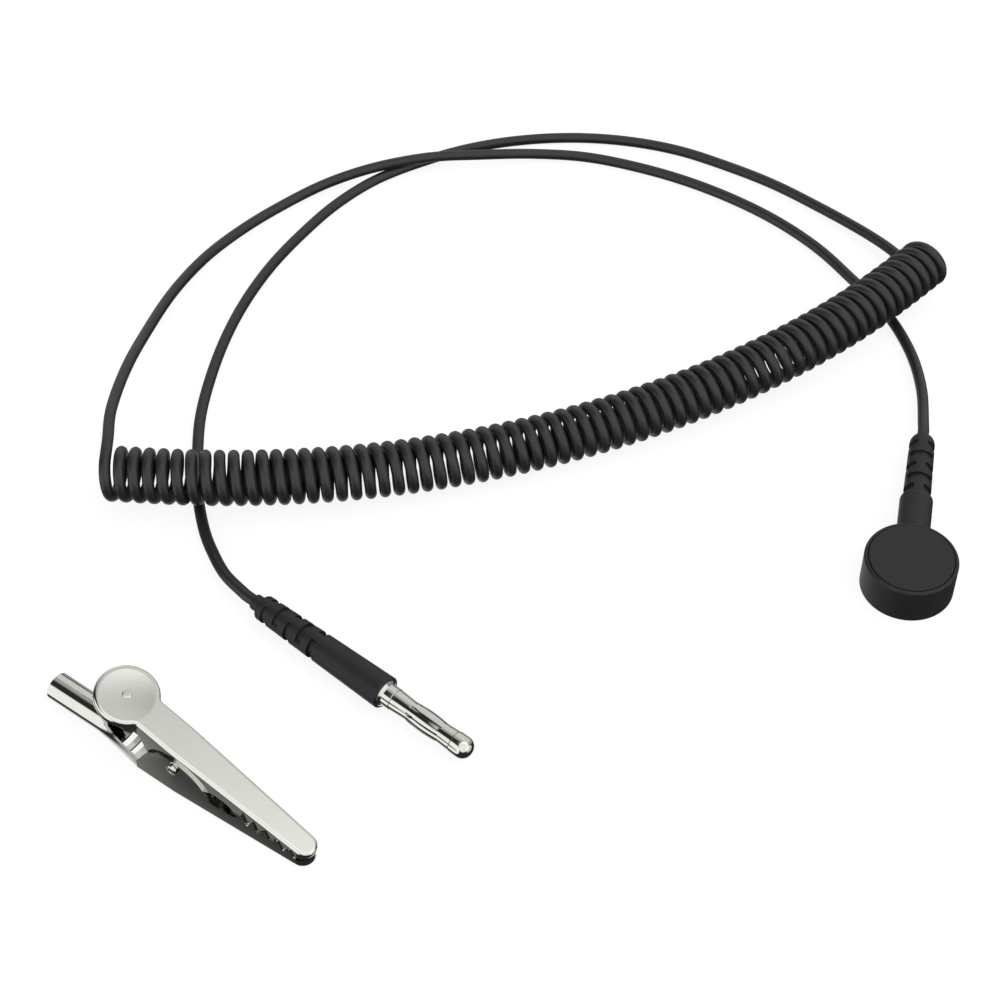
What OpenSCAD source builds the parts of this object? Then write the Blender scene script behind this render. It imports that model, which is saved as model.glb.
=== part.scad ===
// Curly ground cord for a static-control wrist strap: a snap head with its resistor, the cord,
// a banana plug with a spinning contact cage, and a separate sprung alligator clip.
// Millimetres, z up from the bench, origin under the middle of the snap head.

/* [Cord] */
// Outside diameter of the cord jacket
cord_d = 2.0; // [1.7:0.05:2.1]
// Diameter of the bare stranded conductor
conductor_d = 0.9; // [0.6:0.05:1.0]
// Outside diameter of the curly part
coil_od = 10; // [9:0.1:11]
// Whole curls in the curly part
curls = 66; // [50:1:68]

/* [Snap head] */
// Diameter of the head
head_d = 16.3; // [15.5:0.1:18]
// Height of the moulded shell
head_h = 7.2; // [7:0.1:8.5]
// Thickness of the shell's side wall
head_wall = 1.15; // [1:0.05:1.3]
// Rounding of the shell's top edge
head_edge = 0.45; // [0.2:0.05:0.5]
// Thickness of the shell's floor
head_floor = 1.0; // [0.8:0.1:1.2]
// Thickness of the cap
cap_t = 1.2; // [0.9:0.1:1.4]
// Height of the cap above the shell's rim
cap_rise = 0.15; // [0.1:0.05:0.4]
// Width of the rim left round the cap
cap_rim = 0.65; // [0.5:0.05:0.9]
// Depth of the cap's locating skirt
skirt_h = 1.2; // [0.8:0.1:1.4]
// Thickness of the cap's locating skirt
skirt_t = 0.8; // [0.5:0.05:1]
// Diameter of the cord collar
collar_d = 5.9; // [5.4:0.1:6.2]
// Distance of the collar's end from the head's axis
collar_end = 17.2; // [16.8:0.1:19]
// Bore of the cord collar
collar_bore = 3.4; // [3.2:0.1:3.8]
// Rounding of the collar's end
collar_round = 0.7; // [0.3:0.1:0.9]

/* [Snap socket] */
// Bore that the wristband's stud snaps into
snap_bore = 10.2; // [10:0.1:10.6]
// Depth of that bore
snap_depth = 3.4; // [3:0.1:3.8]
// Wall of the socket
snap_wall = 0.8; // [0.7:0.05:0.95]
// Thickness of the socket's top
snap_top = 0.4; // [0.3:0.05:0.6]
// Diameter of the socket's flange
flange_d = 13.2; // [12.8:0.1:13.6]
// Thickness of the socket's flange
flange_t = 0.5; // [0.4:0.05:0.7]
// Wire of the retaining spring
snap_wire = 0.6; // [0.5:0.05:0.7]
// Height of the retaining spring above the bench
snap_spring_z = 1.65; // [1.4:0.05:2]
// Diameter of the rivet through the socket's top
rivet_d = 1.6; // [1.2:0.1:2]
// Thickness of the solder lug
lug_t = 0.3; // [0.2:0.05:0.4]
// Diameter of the solder lug's ring
lug_d = 5.2; // [4.4:0.1:6]
// Width of the solder lug's tab
lug_w = 2.0; // [1.4:0.1:2.6]

/* [Resistor] */
// Diameter of the resistor's body
resistor_d = 2.3; // [1.8:0.1:2.6]
// Length of the resistor's body
resistor_len = 6.3; // [5:0.1:6.4]
// Diameter of the resistor's leads
lead_d = 0.6; // [0.4:0.05:0.7]
// Length of the crimp that joins the lead and the cord
crimp_len = 2.5; // [2:0.1:3]

/* [Strain reliefs] */
// Length of the head's relief beyond its collar
relief_len = 15.3; // [15:0.1:18]
// Diameter of the head's relief at the collar
relief_d0 = 5.0; // [4.8:0.1:5.2]
// Diameter of the head's relief where its nose starts
relief_d1 = 4.6; // [4.3:0.1:4.8]
// Length of the relief's rounded nose
nose_len = 2.0; // [1.6:0.1:2.4]
// Diameter at the tip of that nose
nose_d = 2.6; // [2.5:0.1:3]
// Length of the spigot that plugs into the collar
spigot_len = 1.6; // [1:0.1:1.7]
// Width of one flexing slot
slot_w = 0.8; // [0.6:0.05:1.1]
// Distance from one slot to the next
slot_pitch = 2.75; // [2.4:0.05:2.8]
// Number of slots along each relief
slots = 5; // [3:1:5]
// Diameter of the core left under the slots
slot_core = 3.6; // [3.2:0.1:3.8]
// Width of the webs that bridge each slot
web_w = 1.65; // [1.2:0.05:2]

/* [Banana plug] */
// Diameter of the grip at its mouth
grip_mouth_d = 5.85; // [5.7:0.05:6.4]
// Diameter of the grip where its slots start
grip_mid_d = 5.3; // [5.2:0.05:5.6]
// Diameter of the grip at its shoulder
grip_shoulder_d = 4.6; // [4.3:0.1:4.8]
// Length of the grip from mouth to shoulder
grip_len = 28.6; // [28.4:0.1:33]
// Length from the mouth to where the slots start
grip_plain = 13.6; // [12.4:0.1:14]
// Diameter of the neck round the cord
neck_d = 2.9; // [2.6:0.1:3.2]
// Length of the neck round the cord
neck_len = 1.8; // [1:0.1:2.5]
// Rounding of the grip's mouth
mouth_round = 0.35; // [0.2:0.05:0.35]
// Height that the pin's flange stands out of the mouth
flange_proud = 0.25; // [0.15:0.05:0.4]
// Diameter of the pin's flange
pin_flange_d = 4.9; // [4.7:0.05:4.95]
// Thickness of the pin's flange
pin_flange_t = 1.0; // [0.6:0.1:1.4]
// Length of the sleeve that holds the pin
insert_len = 10.6; // [9:0.1:12]
// Diameter of that sleeve
insert_d = 4.4; // [4:0.1:4.6]
// Diameter of the pin's stem in the sleeve
stem_d = 2.6; // [2.2:0.1:3]
// Depth of the solder cup in the stem
cup_depth = 4.0; // [3:0.5:6]
// Diameter of the plain collar in front of the flange
pin_d = 4.0; // [3.9:0.05:4.05]
// Length of that collar
pin_collar_len = 1.85; // [1.6:0.05:2.4]
// Diameter of the core that the cage turns on
core_d = 3.0; // [2.8:0.05:3.1]
// Length of the contact cage
cage_len = 12.8; // [11:0.1:14]
// Thickness of the cage's sheet
cage_t = 0.2; // [0.15:0.05:0.25]
// Largest diameter over the sprung leaves
cage_d = 3.94; // [3.85:0.01:4]
// Running gap between the cage and its core
cage_gap = 0.05; // [0.03:0.01:0.08]
// Number of slits round the cage
cage_slits = 6; // [4:1:8]
// Width of one slit where it starts
cage_slit_w = 0.5; // [0.3:0.05:0.7]
// Length of the rounded tip
tip_len = 3.4; // [3:0.1:4]
// Diameter of the rounded tip
tip_d = 3.94; // [3.85:0.01:4]

/* [Alligator clip] */
// Thickness of the clip's sheet
sheet = 0.4; // [0.3:0.05:0.45]
// Distance from where the jaws start to taper to where the nose starts to round
jaw_len = 24.3; // [24:0.1:26]
// Half width of the lower jaw at the hinge
jaw_half_w = 3.45; // [3.3:0.05:3.8]
// Half width of the lower jaw where its nose starts
nose_half_w = 2.25; // [2.15:0.05:2.5]
// Side gap between the upper jaw and the lower jaw
jaw_gap = 0.12; // [0.08:0.01:0.2]
// Bend rounding of the sheet
bend_r = 0.7; // [0.5:0.05:0.9]
// Height of the hinge above the bench
hinge_z = 7.5; // [7.3:0.05:7.8]
// Distance of the hinge ahead of where the jaws start to taper
hinge_x = 0.7; // [0.5:0.1:0.9]
// Slope of the upper jaw's back
back_slope = 16.2; // [15.6:0.1:16.6]
// Height of the upper jaw's back above the hinge
back_rise = 3.5; // [3.4:0.05:3.7]
// Diameter of the thumb pad
pad_d = 10.6; // [10:0.1:11.5]
// Distance of the thumb pad's middle behind the hinge, along the back
pad_back = 11.4; // [11:0.1:12.5]
// Depth of the dish in the thumb pad
pad_dish = 0.15; // [0.1:0.05:0.25]
// Depth of the thumb pad's turned-down lip
pad_lip = 1.0; // [0.6:0.1:1.4]
// Bore of the barrel that the banana plug pushes into
barrel_bore = 4.1; // [4.08:0.01:4.2]
// Length of that barrel
barrel_len = 11.9; // [10:0.1:13]
// Distance from the hinge back to the barrel
barrel_start = 17.2; // [16.8:0.1:19]
// Width of the seam along the barrel
seam_w = 0.12; // [0.08:0.02:0.3]
// Diameter of the hinge rivet
hinge_d = 1.3; // [1.1:0.05:1.5]
// Diameter of the hole through the hinge rivet
hinge_hole = 0.6; // [0.4:0.05:0.7]
// Diameter of the hinge rivet's heads
hinge_head_d = 1.9; // [1.8:0.1:2.4]
// Height of the hinge rivet's heads
hinge_head_h = 0.3; // [0.2:0.05:0.4]
// Wire of the jaw spring
wire_d = 0.6; // [0.5:0.05:0.6]
// Middle diameter of the jaw spring
wire_mean_d = 2.7; // [2.5:0.1:3]
// Distance from one turn of the jaw spring to the next
wire_pitch = 1.05; // [1.02:0.01:1.08]
// Whole turns of the jaw spring, besides its third of a turn
wire_turns = 3; // [2:1:3]

/* [Hidden] */
$fn = 64;
e = 0.01;

// ---- clearances and sizes that follow from the values above
fit = 0.05;            // between a pushed-in piece and its hole
head_r = head_d / 2;
cavity_r = head_r - head_wall;
seat_r = head_r - cap_rim;
cap_r = seat_r - 2 * fit;
cap_top = head_h + cap_rise;
cap_z = cap_top - cap_t;
floor_z = flange_t + fit;
floor_top = floor_z + head_floor;
recess_r = flange_d / 2 + 2 * fit;
barrel_out_r = snap_bore / 2 + snap_wall;
socket_hole_r = barrel_out_r + 2 * fit;
socket_z = snap_depth + snap_top;
collar_z = head_h / 2;
groove_r = snap_bore / 2 + snap_wire - 2 * fit;
spring_r = groove_r - fit - snap_wire / 2;
cord_bore_r = cord_d / 2 + fit;
wire_bore_r = conductor_d / 2 + fit;
crimp_r = wire_bore_r + 0.4;
lug_x = barrel_out_r + 0.3;
spigot_x = collar_end - spigot_len;
resistor_x = spigot_x - 0.3 - resistor_len;
crimp_x = spigot_x + 0.3;
jacket_x = crimp_x + crimp_len + 2;
head_tip = collar_end + relief_len;

mouth_r = grip_mouth_d / 2;
plug_z = mouth_r;
flange_x = flange_proud - pin_flange_t;
insert_x = flange_x - insert_len;
plug_jacket_x = insert_x - 0.5;
grip_tail = -grip_len - neck_len;
core_x = flange_proud + pin_collar_len;
cage_x = core_x + 0.1;
cage_end = cage_x + cage_len;
core_end = cage_end + 0.05;
tip_x = cage_end + 0.1;
cage_r = core_d / 2 + cage_gap;
tip_rivet_d = 1.8;

barrel_r = barrel_bore / 2 + sheet;
up_half_w = jaw_half_w - sheet - jaw_gap;
up_nose_w = nose_half_w - sheet - jaw_gap;
back_z = hinge_z + back_rise;

// ---- where the pieces lie on the bench
head_turn = 78.6;
plug_pos = [-89.5, -25.85];
plug_turn = -40.35;
clip_pos = [-121.1, -41.1];
clip_turn = -36.7;

module at_head() rotate([0, 0, head_turn]) children();
module at_plug() translate([plug_pos.x, plug_pos.y, plug_z]) rotate([0, 0, plug_turn]) children();
module at_clip() translate([clip_pos.x, clip_pos.y, 0]) rotate([0, 0, clip_turn]) children();
// a piece turned about the z axis, laid along +x
module lay() rotate([0, 90, 0]) children();

// ---- small profile helpers
// what a rounding of radius f takes off a corner at [x, y]; sx and sy point out of the material
module edge(x, y, f, sx, sy)
    translate([x, y]) mirror([sx < 0 ? 1 : 0, 0]) mirror([0, sy < 0 ? 1 : 0])
        difference() {
            translate([-f, -f]) square([f + 1, f + 1]);
            translate([-f, -f]) circle(f);
        }
// a band from r0 to r1 and from y0 to y1
module band(r0, r1, y0, y1) translate([r0, y0]) square([r1 - r0, y1 - y0]);
// rows of slots round a tapering relief; webs lie across in every second row, up and down in the others
module slot_rows(first, step, n)
    for (i = [0:n - 1]) translate([0, 0, first + i * step]) rotate([0, 0, i % 2 == 0 ? 0 : 90])
        difference() {
            translate([0, 0, -slot_w / 2]) difference() {
                cylinder(r = 4, h = slot_w);
                translate([0, 0, -1]) cylinder(d = slot_core, h = slot_w + 2);
            }
            translate([-5, -web_w / 2, -2]) cube([10, web_w, 4]);
        }

// ---- colours
module black() color([0.13, 0.13, 0.14]) children();
module nickel() color([0.76, 0.76, 0.73]) children();

// ================= snap head =================
module head_shell() black() at_head() difference() {
    union() {
        rotate_extrude() difference() {
            square([head_r, head_h]);
            edge(head_r, head_h, head_edge, 1, 1);
        }
        translate([0, 0, collar_z]) lay() rotate_extrude() difference() {
            band(0, collar_d / 2, cavity_r - 1, collar_end);
            edge(collar_d / 2, collar_end, collar_round, 1, 1);
        }
    }
    translate([0, 0, floor_top]) cylinder(r = cavity_r, h = head_h);
    translate([0, 0, cap_z]) cylinder(r = seat_r, h = head_h);
    translate([0, 0, -1]) cylinder(r = recess_r, h = 1 + floor_z);
    cylinder(r = socket_hole_r, h = head_h);
    translate([cavity_r - 1, 0, collar_z]) lay() cylinder(d = collar_bore, h = collar_end);
}

module head_cap() black() at_head() rotate_extrude() difference() {
    union() {
        band(0, cap_r, cap_z, cap_top);
        band(cavity_r - fit - skirt_t, cavity_r - fit, cap_z - skirt_h, cap_z + e);
    }
    edge(cap_r, cap_top, 0.15, 1, 1);
}

module head_relief() black() at_head() translate([0, 0, collar_z]) lay() difference() {
    nose_x = head_tip - nose_len;
    drop = (relief_d1 - nose_d) / 2;
    rho = (nose_len * nose_len + drop * drop) / (2 * drop);
    rotate_extrude() difference() {
        union() {
            polygon([[0, collar_end], [relief_d0 / 2, collar_end],
                     [relief_d1 / 2, nose_x], [0, nose_x]]);
            intersection() {
                band(0, relief_d1 / 2, nose_x - e, head_tip);
                translate([relief_d1 / 2 - rho, nose_x]) circle(rho, $fn = 128);
            }
            band(0, collar_bore / 2 - fit, spigot_x, collar_end + e);
        }
        band(0, cord_bore_r, spigot_x - 1, head_tip + 1);
    }
    slot_rows(collar_end + slot_w / 2 + 0.65, slot_pitch, slots);
}

module snap_socket() nickel() at_head() rotate_extrude() difference() {
    union() {
        band(0, flange_d / 2, 0, flange_t);
        band(0, barrel_out_r, 0, socket_z);
        band(0, socket_hole_r + 0.3, floor_top + fit, floor_top + fit + 0.3);
    }
    band(0, snap_bore / 2, -1, snap_depth);
    band(0, groove_r, snap_spring_z - snap_wire / 2 - fit, snap_spring_z + snap_wire / 2 + fit);
    band(0, rivet_d / 2 + fit, 0, head_h);
    edge(barrel_out_r, socket_z, 0.3, 1, 1);
    edge(flange_d / 2, 0, 0.2, 1, -1);
}

module snap_spring() nickel() at_head() rotate([0, 0, 15]) rotate_extrude(angle = 330)
    translate([spring_r, snap_spring_z]) circle(d = snap_wire);

module socket_rivet() nickel() at_head() rotate_extrude() {
    band(0, rivet_d / 2, snap_depth - e, socket_z + lug_t + e);
    band(0, rivet_d / 2 + 0.5, snap_depth - 0.12, snap_depth);
    band(0, rivet_d / 2 + 0.4, socket_z + lug_t, socket_z + lug_t + 0.3);
}

module solder_lug() nickel() at_head() difference() {
    union() {
        translate([0, 0, socket_z]) cylinder(d = lug_d, h = lug_t);
        translate([0, -lug_w / 2, socket_z]) cube([lug_x + lug_t, lug_w, lug_t]);
        translate([lug_x, -lug_w / 2, collar_z - 0.6]) cube([lug_t, lug_w, socket_z + lug_t - collar_z + 0.6]);
    }
    translate([0, 0, socket_z - 1]) cylinder(d = rivet_d + 2 * fit, h = lug_t + 2);
    translate([lug_x - 1, 0, collar_z]) lay() cylinder(d = lead_d + fit, h = lug_t + 2);
}

module resistor_body() color([0.36, 0.55, 0.62]) at_head()
    translate([resistor_x, 0, collar_z]) lay() rotate_extrude() difference() {
        band(0, resistor_d / 2, 0, resistor_len);
        edge(resistor_d / 2, 0, 0.3, 1, -1);
        edge(resistor_d / 2, resistor_len, 0.3, 1, 1);
        band(resistor_d / 2 - 0.15, resistor_d, 1.6, resistor_len - 1.6);
    }

module resistor_leads() nickel() at_head() translate([0, 0, collar_z]) lay() {
    translate([0, 0, barrel_out_r + 0.1])
        cylinder(d = lead_d, h = resistor_x - barrel_out_r - 0.1);
    translate([0, 0, resistor_x + resistor_len])
        cylinder(d = lead_d, h = crimp_x + crimp_len / 2 - 0.1 - resistor_x - resistor_len);
}

module head_crimp() nickel() at_head() translate([crimp_x, 0, collar_z]) lay() difference() {
    cylinder(r = crimp_r, h = crimp_len);
    translate([0, 0, -1]) cylinder(r = wire_bore_r, h = crimp_len + 2);
}

module head_conductor() color([0.72, 0.45, 0.2]) at_head()
    translate([crimp_x + crimp_len / 2 + 0.1, 0, collar_z]) lay()
        cylinder(d = conductor_d, h = jacket_x - crimp_x - crimp_len / 2 - 0.1);

module head_cord_end() black() at_head() translate([jacket_x, 0, collar_z]) lay()
    cylinder(d = cord_d, h = head_tip - jacket_x);

// ================= banana plug =================
module plug_grip() black() at_plug() lay() difference() {
    rotate_extrude() difference() {
        union() {
            band(0, neck_d / 2, grip_tail, -grip_len + e);
            polygon([[0, -grip_len], [grip_shoulder_d / 2, -grip_len],
                     [grip_mid_d / 2, -grip_plain], [mouth_r, 0], [0, 0]]);
        }
        edge(grip_shoulder_d / 2, -grip_len, 0.6, 1, -1);
        edge(neck_d / 2, grip_tail, 0.3, 1, -1);
        edge(mouth_r, 0, mouth_round, 1, 1);
        band(0, cord_bore_r, grip_tail - 1, insert_x);
        band(0, insert_d / 2 + fit, insert_x - 0.3, 1);
        band(0, pin_flange_d / 2 + fit, flange_x, 1);
    }
    slot_rows(-grip_plain - slot_w / 2 - 1.35 - slot_pitch * (slots - 1), slot_pitch, slots);
}

module plug_insert() color([0.3, 0.3, 0.32]) at_plug() lay() rotate_extrude() difference() {
    band(stem_d / 2 + fit, insert_d / 2, insert_x, flange_x);
    edge(insert_d / 2, insert_x, 0.3, 1, -1);
}

module plug_pin() nickel() at_plug() lay() rotate_extrude() difference() {
    union() {
        band(0, stem_d / 2, insert_x, flange_x + e);
        band(0, pin_flange_d / 2, flange_x, flange_proud);
        band(0, pin_d / 2, flange_proud - e, core_x);
        band(0, core_d / 2, core_x - e, core_end);
        band(0, tip_rivet_d / 2, core_end - e, tip_x + tip_len / 2);
    }
    band(0, wire_bore_r, insert_x - 1, insert_x + cup_depth);
    edge(pin_d / 2, core_x, 0.15, 1, 1);
    edge(pin_flange_d / 2, flange_proud, 0.2, 1, 1);
}

// the cage's side view: plain bands at both ends and leaves that bow out between them
module cage_profile() {
    rear = 3.4 / 12.8 * cage_len;
    front = 2.6 / 12.8 * cage_len;
    span = cage_len - rear - front;
    end_r = cage_r + cage_t;
    rise = cage_d / 2 - end_r;
    rho = (span * span / 4 + rise * rise) / (2 * rise);
    polygon([[cage_r, 0], [cage_d / 2 - 0.02, 0], [end_r, rear], [cage_r, rear]]);
    polygon([[cage_r, cage_len - front], [end_r, cage_len - front],
             [cage_d / 2 - 0.12, cage_len - 0.4], [cage_d / 2 - 0.12, cage_len], [cage_r, cage_len]]);
    intersection() {
        band(0, cage_d, rear - e, cage_len - front + e);
        translate([cage_d / 2 - rho, rear + span / 2]) difference() {
            circle(rho, $fn = 360);
            circle(rho - cage_t, $fn = 360);
        }
    }
}
module pin_cage() nickel() at_plug() translate([cage_x, 0, 0]) lay() difference() {
    rear = 3.4 / 12.8 * cage_len;
    front = 2.6 / 12.8 * cage_len;
    rotate_extrude() cage_profile();
    // each slit starts wide and runs on as a narrow line
    for (i = [0:cage_slits - 1]) rotate([0, 0, 4.5 + i * 360 / cage_slits])
        translate([core_d / 2 - 0.3, 0, rear]) rotate([90, 0, 90]) linear_extrude(3) polygon([
            for (p = [[0.35, 0], [0.5, 0.25], [0.5, 1.2], [0.2, 2], [0.2, cage_len - rear - front]])
                [-p[0] * cage_slit_w, p[1]],
            for (p = [[0.2, cage_len - rear - front], [0.2, 2], [0.5, 1.2], [0.5, 0.25], [0.35, 0]])
                [p[0] * cage_slit_w, p[1]]]);
}

module pin_tip() nickel() at_plug() translate([tip_x, 0, 0]) lay() rotate_extrude() difference() {
    nose = tip_d / 2 - 0.2;
    band(0, tip_d / 2, 0, tip_len);
    edge(tip_d / 2, tip_len, nose, 1, 1);
    edge(tip_d / 2, 0, 0.2, 1, -1);
    band(0, tip_rivet_d / 2 + fit, -1, tip_len / 2 + fit);
}

module plug_conductor() color([0.72, 0.45, 0.2]) at_plug() translate([plug_jacket_x, 0, 0]) lay()
    cylinder(d = conductor_d, h = insert_x + cup_depth - 0.3 - plug_jacket_x);

module plug_cord_end() black() at_plug() translate([grip_tail, 0, 0]) lay()
    cylinder(d = cord_d, h = plug_jacket_x - grip_tail);

// ================= alligator clip =================
// a block whose lower outer corner, at the origin, is rounded
module round_block(w, h, f) difference() {
    translate([-w, 0]) square([w, h]);
    difference() {
        translate([-f, -1]) square([f + 1, f + 1]);
        translate([-f, f]) circle(f);
    }
}
// half of a folded channel: floor and wall joined by a bend, outer corner at the origin
module ell(w, h) difference() {
    round_block(w, h, bend_r);
    translate([-sheet, sheet]) round_block(w, h, bend_r - sheet);
}
// one side of a channel that opens upward; its outer edge leaves [0, w] at angle a towards the middle
module half_channel(x0, x1, w, a, h)
    translate([0, w, 0]) rotate([0, 0, -a]) rotate([90, 0, 90]) translate([0, 0, x0])
        linear_extrude(x1 - x0) ell(w + 3, h);
module both_sides() {
    children();
    mirror([0, 1, 0]) children();
}
// channel from x0 past the hinge, where its sides are mitred, to a rounded nose that they run into
module jaw_channel(x0, w, w1, xn, h) {
    a = acos(w1 / norm([w, xn])) - atan2(xn, w);
    both_sides() {
        intersection() {
            half_channel(x0 - 1, 2, w, 0, h);
            translate([0, w, -1]) rotate([0, 0, -a / 2]) translate([x0 - 5, -w - 5, 0]) cube([5 - x0, w + 9, h + 2]);
            translate([x0, 0, -1]) cube([3 - x0, w + 2, h + 2]);
        }
        intersection() {
            half_channel(-2, xn + 5, w, a, h);
            translate([0, w, -1]) rotate([0, 0, -a / 2]) translate([0, -w - 5, 0]) cube([xn + 9, w + 9, h + 2]);
            translate([xn, 0, -1]) rotate([0, 0, -a]) translate([-xn - 9, -5, 0]) cube([xn + 9, w + 9, h + 2]);
            translate([-2, 0, -1]) cube([xn + 5, w + 2, h + 2]);
        }
    }
    // the nose starts a hair inside the sides, so that no two faces nearly coincide
    translate([xn, 0, 0]) rotate([0, 0, a - 91]) rotate_extrude(angle = 182 - 2 * a) intersection() {
        translate([w1 - 0.02, 0]) ell(w1, h);
        square([w1 + 1, h]);
    }
}
module side_cut(h = 30) rotate([90, 0, 0]) linear_extrude(h, center = true) children();

// points measured back from where the nose starts to round, as points along the hinge's x
function from_nose(P) = [for (p = P) [jaw_len - p[0], p[1]]];
// tooth tips and roots of the lower jaw, from the back to the nose
TOOTH = from_nose([[12.3, 3.2], [11.4, 3.5], [9.95, 5.2], [9.3, 3], [7.8, 4.9], [6.9, 2.9], [5.6, 4.45],
         [4.6, 2.5], [3.1, 4], [2.1, 2], [0.8, 3.5], [-0.2, 1.7]]);
flare_x = 8;       // where the flared tail meets the parallel channel
// side view of the lower jaw in front of its barrel: flared tail, ears and teeth
module lower_side() {
    polygon(concat([[-barrel_start - 1, -1], [-barrel_start - 1, 4.7], [-flare_x + 0.2, 2.7], [-7.1, 3.6],
        [-5.9, 5.3], [-4.6, 6.65], [-3.4, 7.35], [0, 8], [5.5, 7], [7.3, 4.9], [8.1, 3.8], [10, 3.2]],
        TOOTH, [[jaw_len + nose_half_w + 1, 1.7], [jaw_len + nose_half_w + 1, -1]]));
    translate([1.0, 1.9]) circle(7.05);
}
module flare_skin(r, w, z, f, top, x0, x1) hull() {
    translate([x0, 0, barrel_r]) lay() cylinder(r = r, h = 0.1, $fn = 32);
    for (s = [-1, 1]) translate([x1, s * (w - f), z + f]) lay() cylinder(r = f, h = 0.1, $fn = 32);
    translate([x1, -w, top - 0.5]) cube([0.1, 2 * w, 0.5]);
}
module lower_jaw() nickel() at_clip() difference() {
    union() {
        intersection() {
            union() {
                jaw_channel(-flare_x, jaw_half_w, nose_half_w, jaw_len, 12);
                difference() {
                    flare_skin(barrel_r - 0.03, jaw_half_w - 0.02, 0.02, bend_r, 5.4,
                               -barrel_start - 0.3, -flare_x);
                    flare_skin(barrel_r - sheet + 0.03, jaw_half_w - sheet + 0.02, sheet + 0.02,
                               bend_r - sheet, 6, -barrel_start - 0.45, -flare_x + 0.3);
                    // the floor's two windows, with a bar left between them
                    for (p = [[3.7, 1.25], [5.95, 1.1]])
                        translate([p[0] - barrel_start, -1.6, -1]) cube([p[1], 3.2, 2]);
                }
            }
            side_cut() lower_side();
        }
        translate([-barrel_start - barrel_len, 0, barrel_r]) lay() cylinder(r = barrel_r, h = barrel_len);
    }
    translate([-barrel_start - barrel_len - 1, 0, barrel_r]) lay()
        cylinder(d = barrel_bore, h = barrel_len + 2);
    translate([-barrel_start - barrel_len - 1, -seam_w / 2, barrel_r + 1])
        cube([barrel_len + 1.5, seam_w, barrel_r + 1]);
    translate([hinge_x, 0, hinge_z]) rotate([90, 0, 0])
        cylinder(d = hinge_d + 0.04, h = 3 * jaw_half_w, center = true);
}

// side view of the upper jaw's flanges: rear edge, lobe under the hinge, notch and hidden teeth
module upper_side() polygon(concat([[-7.4, back_z + 6], [-7.4, 12], [-6.6, 10.6], [-5.9, 8.4], [-5.1, 6.2],
    [-3.6, 4.7], [-1.5, 4], [3.5, 4], [5.2, 4.3], [6.3, 4.9], [7.4, 5.8]],
    from_nose([[14.5, 5.9], [12.4, 5.5], [11.6, 4.2], [9.5, 2], [8.45, 2.4], [7.5, 1.7], [6.1, 2.4], [4.9, 1.6],
        [3.4, 2.2], [2.4, 1.2], [1.2, 1.8], [0.3, 0.9], [-0.2, 2], [-4, 2], [-4, back_z + 6]])));
module upper_frame() translate([0, 0, back_z]) rotate([0, back_slope, 0]) children();
module upper_jaw() nickel() at_clip() difference() {
    union() {
        intersection() {
            upper_frame() mirror([0, 0, 1])
                jaw_channel(-9, up_half_w, up_nose_w, jaw_len / cos(back_slope), 13);
            side_cut() upper_side();
        }
        upper_frame() translate([-pad_back, 0, 0]) thumb_pad();
    }
    translate([hinge_x, 0, hinge_z]) rotate([90, 0, 0])
        cylinder(d = hinge_d + 0.14, h = 3 * jaw_half_w, center = true);
}
// the thumb pad: a shallow dish with a dimple and a turned-down lip
module thumb_pad() {
    pad_r = pad_d / 2;
    dish_r = pad_r - 0.9;
    rho = (dish_r * dish_r + pad_dish * pad_dish) / (2 * pad_dish);
    difference() {
        rotate_extrude() difference() {
            union() {
                band(dish_r - e, pad_r, -sheet, 0);
                band(pad_r - sheet, pad_r, -pad_lip, 0);
                intersection() {
                    band(0, dish_r, -2, 0);
                    translate([0, rho - pad_dish]) difference() {
                        circle(rho + sheet, $fn = 720);
                        circle(rho, $fn = 720);
                    }
                }
                band(0, 0.55, -pad_dish - sheet / 2, 0);
            }
            edge(pad_r, 0, sheet * 0.9, 1, 1);
            edge(0.55, 0, 0.12, 1, 1);
        }
        // the lip stops where the jaw's channel begins
        translate([pad_r - 2.6, -up_half_w + sheet, -3]) cube([4, 2 * (up_half_w - sheet), 3 - sheet]);
    }
}

module hinge_rivet() nickel() at_clip() translate([hinge_x, 0, hinge_z]) rotate([90, 0, 0]) difference() {
    union() {
        cylinder(d = hinge_d, h = 2 * jaw_half_w, center = true);
        for (s = [0, 1]) mirror([0, 0, s]) translate([0, 0, jaw_half_w]) rotate_extrude() difference() {
            band(0, hinge_head_d / 2, 0, hinge_head_h);
            edge(hinge_head_d / 2, hinge_head_h, 0.2, 1, 1);
        }
    }
    cylinder(d = hinge_hole, h = 4 * jaw_half_w, center = true);
}

// ================= tubes along a line =================
function unit(v) = v / norm(v);
// cubic that passes near its points, smooth enough to wind a coil on
function bs(Q, i, t) = (pow(1 - t, 3) * Q[i] + (3 * t * t * t - 6 * t * t + 4) * Q[i + 1]
    + (1 + 3 * t + 3 * t * t - 3 * t * t * t) * Q[i + 2] + t * t * t * Q[i + 3]) / 6;
// cubic that passes through its points
function cr(Q, i, t) = 0.5 * (2 * Q[i + 1] + (Q[i + 2] - Q[i]) * t
    + (2 * Q[i] - 5 * Q[i + 1] + 4 * Q[i + 2] - Q[i + 3]) * t * t
    + (3 * Q[i + 1] - Q[i] - 3 * Q[i + 2] + Q[i + 3]) * t * t * t);
function ends(P) = concat([2 * P[0] - P[1]], P, [2 * P[len(P) - 1] - P[len(P) - 2]]);
function fine(P, n, near) = let (Q = ends(P)) concat(
    [for (i = [0:len(P) - 2], j = [0:n - 1]) near ? bs(Q, i, j / n) : cr(Q, i, j / n)],
    [near ? bs(Q, len(P) - 2, 1) : cr(Q, len(P) - 2, 1)]);
function lengths(P) = [for (i = 0, s = 0; i < len(P); i = i + 1, s = s + (i < len(P) ? norm(P[i] - P[i - 1]) : 0)) s];
function table(P) = let (S = lengths(P)) [for (k = [0:2]) [for (i = [0:len(P) - 1]) [S[i], P[i][k]]]];
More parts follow.
